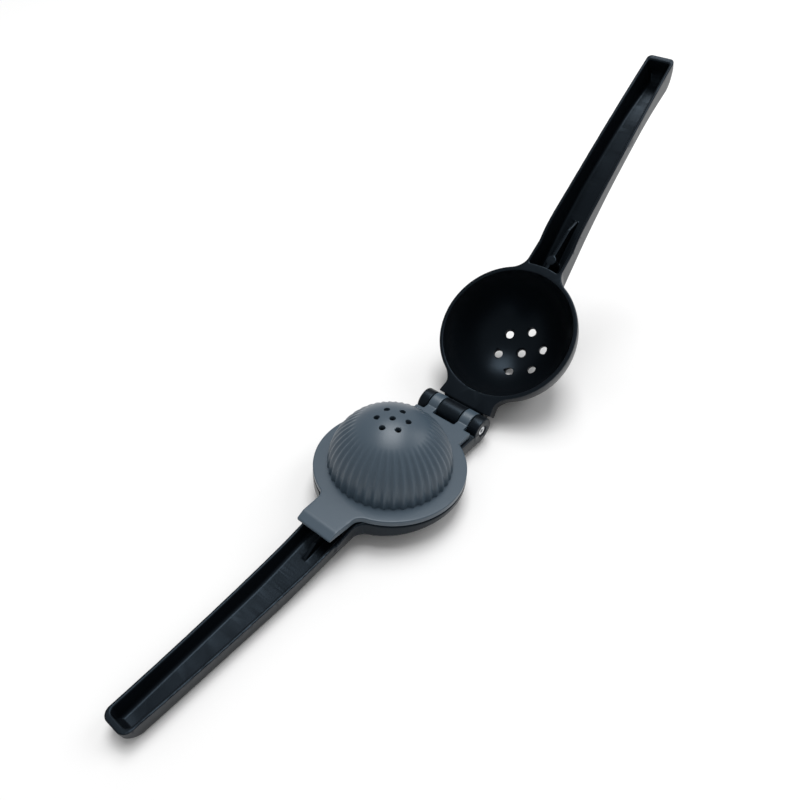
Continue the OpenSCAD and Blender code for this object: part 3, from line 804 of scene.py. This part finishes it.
@dataclass
class PressLever:
    """Lower lever: press ring with its hollow plunger, two ears and a handle."""

    band: Line = Line(((10.0, -2.2), (STACK.reach, -3.1), (STACK.reach + 13, -3.9), (78.0, -5.5),
                       (87.0, -7.1), (98.0, -8.6)))
    neck_fillet: float = 6.0
    gusset_reach: float = 12.0
    deck_t: float = 2.5
    skirt_t: float = 2.0
    plunger_r: float = 24.5
    plunger_h: float = 23.0
    plunger_wall: float = 2.5

    def ring(self, r: Array, x: Array, z: Array) -> Array:
        """Distance to the ring with its plunger, hollow from below."""
        top = STACK.deck_top
        low = self.band(x) - z
        ring = convex(convex(r - STACK.outer_r, z - top, 0.8), low, 0.9)
        plunger = np.maximum(dome_distance(r, z - top, self.plunger_r, self.plunger_h), top - 1 - z)
        under = np.maximum(r - STACK.outer_r + self.skirt_t, z - top + self.deck_t)
        wall = self.plunger_wall
        inside = dome_distance(r, z - top, self.plunger_r - wall, self.plunger_h - wall)
        return carve(concave(ring, plunger, 1.5), concave(under, inside, 1.0), 0.4)

    def neck_and_handle(self, r: Array, x: Array, y: Array, z: Array) -> Array:
        """Distance to the handle and to the gussets that join it to the ring."""
        handle = PRESS_HANDLE.outside(x, y, z)
        side = np.abs(y) - PRESS_HANDLE.straight_half(x)
        plan = concave(r - STACK.outer_r, side, self.neck_fillet)
        gusset = np.maximum(convex(plan, self.band(x) - z, 1.2), x - STACK.root - self.gusset_reach)
        body = concave(handle, gusset, 2.0)
        body = convex(body, STACK.outer_r - self.skirt_t - r, 0.4)
        body = convex(body, z - PRESS_HANDLE.rim(x), 0.5)
        return carve(body, PRESS_HANDLE.channel(x, y, z), 0.5)

    def field(self, x: Array, y: Array, z: Array) -> Array:
        """Distance to the whole lever."""
        r = np.hypot(x - STACK.reach, y)
        whole = concave(self.ring(r, x, z), self.neck_and_handle(r, x, y, z), 0.4)
        whole = concave(whole, PRESS_HANDLE.rib(x, y, z), 0.6)
        return self.with_ears(whole, x, y, z)

    def with_ears(self, whole: Array, x: Array, y: Array, z: Array) -> Array:
        """Adds the ears and their arms, and bores them for the pin."""
        y0, y1 = STACK.ear_span
        arm_end = STACK.reach - math.sqrt(STACK.outer_r**2 - y1**2) + self.skirt_t
        across = np.abs(np.abs(y) - (y0 + y1) / 2) - (y1 - y0) / 2
        level = np.maximum(z - STACK.deck_top, -STACK.ear_r - z)
        arm = np.maximum(convex(across, level, STACK.edge), np.maximum(-x, x - arm_end))
        ear = concave(along_pin(x, y, z, STACK.ear_r, y0, y1, STACK.edge), arm, 0.6)
        whole = concave(whole, ear, 0.8)
        bore = along_pin(x, y, z, STACK.pin_r, 0.0, y1 + 2, 0.01)
        recess = along_pin(x, y, z, STACK.pin_recess_r, y1 - STACK.pin_recess_depth, y1 + 2, 0.01)
        return carve(whole, np.minimum(bore, recess), 0.15)

    def build(self, finish: bpy.types.Material) -> bpy.types.Object:
        """Makes the lever's mesh and sets it in place of its CAD node."""
        grid = Grid((-9.0, -40.0, -27.5), (PRESS_HANDLE.tip + 1.5, 40.0, 26.0), cell_size(0.42))
        obj = solid("press_lever_body", self.field, grid, LOWER, 190000)
        return dress(obj, finish, Body.PRESS, "press_lever")


@dataclass
class HingePin:
    """Steel tube on the hinge axis, with rounded ends."""

    bore_r: float = 1.1
    end_r: float = 0.3
    sides: int = 64

    def build(self, finish: bpy.types.Material) -> bpy.types.Object:
        """Turns the tube's outline round the hinge axis."""
        half = STACK.ear_span[1] - STACK.pin_recess_depth
        outline: list[tuple[float, float]] = []
        for r, y, first in ((STACK.pin_r, half, 0), (self.bore_r, half, 90), (self.bore_r, -half, 180),
                            (STACK.pin_r, -half, 270)):
            centre_r = r + (self.end_r if r == self.bore_r else -self.end_r)
            centre_y = y - math.copysign(self.end_r, y)
            outline += [(centre_r + self.end_r * math.cos(math.radians(first + a)),
                         centre_y + self.end_r * math.sin(math.radians(first + a))) for a in range(0, 91, 15)]
        n = len(outline)
        points = [(r * math.cos(t), y, r * math.sin(t)) for t in np.arange(self.sides) * math.tau / self.sides
                  for r, y in outline]
        rows = [(i * n, (i + 1) % self.sides * n) for i in range(self.sides)]
        faces = [(a + j, a + (j + 1) % n, b + (j + 1) % n, b + j) for a, b in rows for j in range(n)]
        obj = mesh_object("hinge_pin_tube", np.array(points) * MM, np.array(faces))
        obj.data.transform(LOWER)
        face_outwards(obj)
        return dress(obj, finish, Body.PRESS, "hinge_pin")


@dataclass
class CupInsert:
    """Swing-over insert: flange with neck, knuckles and tab, under a fluted dome."""

    dome_r: float = 31.0
    dome_h: float = 29.4
    dome_wall: float = 2.1
    flutes: int = 42
    flute_depth: float = 1.0
    flute_start: float = 31.0
    flute_fade: float = 16.0
    rings_of_points: int = 134
    points_a_flute: int = 10
    foot: float = 1.5
    hole_d: float = 3.0
    hole_flare: float = 0.2
    hole_ring: float = 7.5
    hole_depth: float = 10.0
    neck_half: float = 17.6
    pocket_reach: float = 9.7
    tab_half: float = 11.2
    tab_taper: float = 0.9
    tab_start: float = 4.0
    finger_reach: float = 12.0
    tab_length: float = 16.4
    tab_slope: float = 4.5
    tab_drop: float = 1.9
    tab_fillet: float = 3.0

    def plate(self, x: Array, y: Array, z: Array) -> Array:
        """Distance to the flange, neck, tab and knuckles."""
        r = np.hypot(x - STACK.reach, y)
        end = STACK.root + self.tab_length
        tab_root = STACK.root - self.tab_start
        narrow = self.tab_half - self.tab_taper * np.clip((x - tab_root) / (end - tab_root), 0, 1)
        tab = np.maximum(convex(np.abs(y) - narrow, x - end, 0.8), STACK.reach - x)
        neck = np.maximum(convex(np.abs(y) - self.neck_half, self.pocket_reach - x, 0.5), x - STACK.reach)
        plan = np.minimum(concave(r - STACK.outer_r, tab, self.tab_fillet), neck)
        y0, y1 = STACK.insert_span
        ahead = np.abs(x - self.finger_reach / 2) - self.finger_reach / 2
        finger = np.maximum(np.abs(np.abs(y) - (y0 + y1) / 2) - (y1 - y0) / 2, ahead)
        plan = concave(plan, finger, 0.8)
        slope = self.tab_drop / self.tab_slope
        sloped = (z - STACK.flange_top + slope * (x - end + self.tab_slope)) / math.hypot(1, slope)
        top = convex(z - STACK.flange_top, sloped, 0.3)
        flat = convex(convex(plan, top, STACK.edge), STACK.insert_z - z, 0.4)
        knuckles = along_pin(x, y, z, STACK.knuckle_r, y0, y1, 0.4)
        whole = concave(flat, knuckles, 0.3)
        hollow = r - (self.dome_r - self.flute_depth - self.dome_wall)
        bore = along_pin(x, y, z, STACK.pin_r + STACK.pin_clearance, 0.0, y1 + 2, 0.01)
        return carve(carve(whole, hollow, 0.3), bore, 0.15)

    def dome(self, finish: bpy.types.Material) -> bpy.types.Object:
        """Fluted dome with its seven holes, standing at the origin."""
        obj = mesh_object("dome", np.zeros((1, 3)), np.zeros((0, 3), int))
        fade = math.radians(self.flute_start), math.radians(self.flute_start + self.flute_fade)
        run_nodes(obj, fluted_dome_nodes(finish), {
            "Ridge Radius": self.dome_r * MM, "Height": self.dome_h * MM, "Wall": self.dome_wall * MM,
            "Foot": self.foot * MM, "Flute Depth": self.flute_depth * MM, "Fade Start": fade[0],
            "Fade End": fade[1], "Flutes": self.flutes, "Around": self.flutes * self.points_a_flute + 1,
            "Along": self.rings_of_points})
        face_outwards(obj)
        return run_nodes(obj, hole_ring_nodes(finish), {
            "Count": 6, "Hole Radius": self.hole_d / 2 * MM, "Ring Radius": self.hole_ring * MM,
            "Flare": self.hole_flare * MM, "Shell Radius": self.dome_r * MM, "Shell Height": self.dome_h * MM,
            "Shell Middle": 0.0, "Depth": self.hole_depth * MM})

    def build(self, finish: bpy.types.Material) -> bpy.types.Object:
        """Joins plate and dome into one moulding in place of the CAD node."""
        grid = Grid((-9.0, -40.0, -9.0), (STACK.root + self.tab_length + 2, 40.0, 8.5), cell_size(0.38))
        obj = solid("cup_insert_body", self.plate, grid, Matrix.Identity(4), 80000)
        dome = self.dome(finish)
        dome.data.transform(Matrix.Translation((STACK.reach * MM, 0, STACK.flange_top * MM)))
        union = obj.modifiers.new("join dome", "BOOLEAN")
        union.operation = "UNION"
        union.solver = "MANIFOLD"
        union.object = dome
        baked(obj)
        bpy.data.objects.remove(dome)
        obj.data.transform(LOWER)
        return dress(obj, finish, Body.INSERT, "cup_insert")


@dataclass
class BowlLever:
    """Upper lever: perforated bowl, hinge block with middle knuckle, and a handle."""

    wall: float = 2.2
    drain_d: float = 4.8
    drain_flare: float = 0.6
    drain_ring: float = 13.2
    drain_depth: float = 20.0
    block_x: float = 8.6
    block_half: float = 16.9
    block_taper: float = 1.4
    block_taper_l: float = 7.3
    block_seat: float = 12.0
    block_depth: float = 8.0
    block_draft: float = 7.0
    block_fillet: float = 5.0
    neck_fillet: float = 5.5
    lip_reach: float = 3.6
    lip_drop: float = 4.2
    lip_seat: float = 3.0
    web_top: float = 4.8
    web_h: float = 2.6
    pad_r: float = 2.8
    pad_x: float = 6.0

    def cup(self, r: Array, z: Array, radius: float) -> Array:
        """Distance to a half-round cup with a straight upper end, without its top."""
        return np.hypot(r, np.minimum(z + STACK.bowl_centre, 0)) - radius

    def hinge_block(self, x: Array, y: Array, z: Array) -> Array:
        """Distance to the block between the bowl and the knuckle, without its top."""
        base = -STACK.bowl_rim - self.block_depth
        half = self.block_half - self.block_taper * np.clip((x - self.block_x) / self.block_taper_l, 0, 1)
        draft = math.tan(math.radians(self.block_draft))
        face = (self.block_x - draft * (z + STACK.bowl_rim) - x) / math.hypot(1, draft)
        plan = convex(np.abs(y) - half, face, 0.6)
        behind = x - STACK.reach + STACK.outer_r - self.block_seat
        block = np.maximum(convex(plan, base - z, 1.0), behind)
        slant = self.lip_reach * (z + STACK.bowl_rim) - self.lip_drop * (x - self.block_x)
        slant /= math.hypot(self.lip_reach, self.lip_drop)
        front = np.maximum(slant, self.block_x - self.lip_reach - x)
        lip = convex(convex(front, base - z, 0.8), np.abs(y) - STACK.insert_span[1], 0.4)
        return concave(block, np.maximum(lip, x - self.block_x - self.lip_seat), 0.5)

    def field(self, x: Array, y: Array, z: Array) -> Array:
        """Distance to the whole lever, before its drain holes."""
        r = np.hypot(x - STACK.reach, y)
        whole = concave(self.cup(r, z, STACK.outer_r), self.hinge_block(x, y, z), self.block_fillet)
        whole = concave(whole, BOWL_HANDLE.outside(x, y, z), self.neck_fillet)
        top = BOWL_HANDLE.rim(x)
        whole = convex(whole, (z - top) / BOWL_HANDLE.floor_steepness, STACK.edge)
        whole = carve(whole, BOWL_HANDLE.channel(x, y, z), 0.5)
        pad = np.hypot(x - STACK.root - BOWL_HANDLE.end_wall - self.pad_x, y) - self.pad_r
        level = z + STACK.bowl_rim + BOWL_HANDLE.rib_drop
        pad = np.maximum(convex(pad, level, 0.4), BOWL_HANDLE.under(x) + 1 - z)
        whole = concave(whole, np.minimum(BOWL_HANDLE.rib(x, y, z), pad), 0.6)
        whole = carve(whole, self.cup(r, z, STACK.outer_r - self.wall), STACK.edge)
        return self.with_knuckle(whole, x, y, z)

    def with_knuckle(self, whole: Array, x: Array, y: Array, z: Array) -> Array:
        """Adds the middle knuckle and its web, and bores it for the pin."""
        half = STACK.bowl_knuckle_half
        knuckle = convex(np.hypot(x, z) - STACK.knuckle_r, np.abs(y) - half, 0.4)
        level = np.maximum(z + self.web_top, -self.web_top - self.web_h - z)
        reach = np.maximum(STACK.knuckle_r / 2 - x, x - self.block_x - 1)
        web = np.maximum(np.maximum(np.abs(y) - half, level), reach)
        whole = concave(whole, concave(knuckle, web, 0.5), 0.5)
        bore = np.maximum(np.hypot(x, z) - STACK.pin_r - STACK.pin_clearance, np.abs(y) - half - 2)
        return carve(whole, bore, 0.15)

    def build(self, finish: bpy.types.Material) -> bpy.types.Object:
        """Makes the lever's mesh, drills it and sets it in place of its CAD node."""
        grid = Grid((-9.0, -40.0, -46.0), (BOWL_HANDLE.tip + 1.5, 40.0, 9.0), cell_size(0.44))
        to_bowl = Matrix.Translation((-STACK.reach * MM, 0, 0))
        obj = solid("bowl_lever_body", self.field, grid, to_bowl, 188000)
        run_nodes(obj, hole_ring_nodes(finish), {
            "Count": 6, "Hole Radius": self.drain_d / 2 * MM, "Ring Radius": self.drain_ring * MM,
            "Flare": self.drain_flare * MM, "Shell Radius": (STACK.outer_r - self.wall) * MM,
            "Shell Height": (self.wall - STACK.outer_r) * MM, "Shell Middle": -STACK.bowl_centre * MM,
            "Depth": self.drain_depth * MM})
        obj.data.transform(UPPER @ to_bowl.inverted())
        return dress(obj, finish, Body.BOWL, "bowl_lever")


def dress(obj: bpy.types.Object, finish: bpy.types.Material, body: Body,
          node: str) -> bpy.types.Object:
    """Gives a finished piece its material and body, and hides the CAD node that it stands for.

    Args:
        obj: The piece, in place.
        finish: Its material.
        body: Body that it moves with.
        node: CAD node that it stands for.

    Returns:
        The same piece.
    """
    obj.data.materials.clear()
    obj.data.materials.append(finish)
    shade(obj)
    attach(obj, body.value)
    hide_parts(node)
    triangles = sum(len(p.vertices) - 2 for p in obj.data.polygons)
    log.info("%s: %d triangles, on body %s", obj.name, triangles, body.value)
    return obj


# ---------------------------------------------------------------- studio


@dataclass
class Studio:
    """Pale floor, soft lamps and the camera."""

    floor_size: float = 6.0
    floor_white: float = 0.86
    world_strength: float = 0.46
    middle: tuple[float, float, float] = (0.17, 0.0, 0.03)
    lamp_size: float = 1.2
    lamp_reach: float = 2.4
    camera_place: tuple[float, float, float] = (-0.0516, -0.1468, 0.2776)
    azimuth: float = -48.52
    elevation: float = 46.54
    roll: float = -1.39
    lens: float = 31.49
    shift: tuple[float, float] = (0.0261, 0.0439)

    def floor(self) -> None:
        """Plain pale floor."""
        half = self.floor_size / 2
        points = np.array([(-half, -half, 0), (half, -half, 0), (half, half, 0), (-half, half, 0)])
        obj = mesh_object("studio_floor", points, np.array([(0, 1, 2, 3)]))
        material = bpy.data.materials.new("studio floor")
        material.use_nodes = True
        shader = material.node_tree.nodes["Principled BSDF"]
        shader.inputs["Base Color"].default_value = (*[self.floor_white] * 3, 1)
        shader.inputs["Roughness"].default_value = 0.9
        shader.inputs["Specular IOR Level"].default_value = 0.0
        obj.data.materials.append(material)

    def world(self) -> None:
        """Even pale surroundings."""
        world = bpy.data.worlds.new("studio")
        bpy.context.scene.world = world
        world.use_nodes = True
        sky = world.node_tree.nodes["Background"]
        sky.inputs["Color"].default_value = (1, 1, 1, 1)
        sky.inputs["Strength"].default_value = self.world_strength

    def lamp(self, name: str, towards: tuple[float, float, float], watts: float) -> None:
        """Adds a square soft lamp in that direction from the object, facing it."""
        data = bpy.data.lights.new(name, "AREA")
        data.size = self.lamp_size
        data.energy = watts
        obj = bpy.data.objects.new(name, data)
        obj.location = Vector(self.middle) + Vector(towards).normalized() * self.lamp_reach
        obj.rotation_euler = Vector(towards).to_track_quat("Z", "Y").to_euler()
        bpy.context.scene.collection.objects.link(obj)

    def camera(self) -> None:
        """Camera above the lower handle's side, turned from azimuth, elevation and roll."""
        data = bpy.data.cameras.new("camera")
        data.lens = self.lens
        data.shift_x, data.shift_y = self.shift
        data.clip_start = 0.01
        obj = bpy.data.objects.new("camera", data)
        tilt = Matrix.Rotation(math.radians(90 - self.elevation), 4, "X")
        turn = Matrix.Rotation(math.radians(self.azimuth), 4, "Z")
        roll = Matrix.Rotation(math.radians(self.roll), 4, "Z")
        obj.matrix_world = Matrix.Translation(self.camera_place) @ turn @ tilt @ roll
        bpy.context.scene.collection.objects.link(obj)
        bpy.context.scene.camera = obj

    def build(self) -> None:
        """Sets the whole studio."""
        self.floor()
        self.world()
        self.camera()
        self.lamp("key", (0.35, 0.20, 0.91), 20.8)
        self.lamp("top", (0.09, 0.04, 0.995), 24.0)
        self.lamp("side", (0.68, -0.38, 0.64), 9.5)
        bpy.context.scene.view_settings.view_transform = "Standard"


def main() -> None:
    """Builds the studio and the pieces of the squeezer in order."""
    logging.basicConfig(level=logging.INFO, format="%(name)s: %(message)s")
    Studio().build()
    skin, edge_highlight = moulded_skin_group(), painted_edge_highlight_group()
    black = LEVER_BLACK.material(skin, edge_highlight)
    PressLever().build(black)
    HingePin().build(PIN_STEEL.material(skin, edge_highlight))
    CupInsert().build(INSERT_SLATE.material(skin, edge_highlight))
    BowlLever().build(black)


if __name__ == "__main__":
    main()
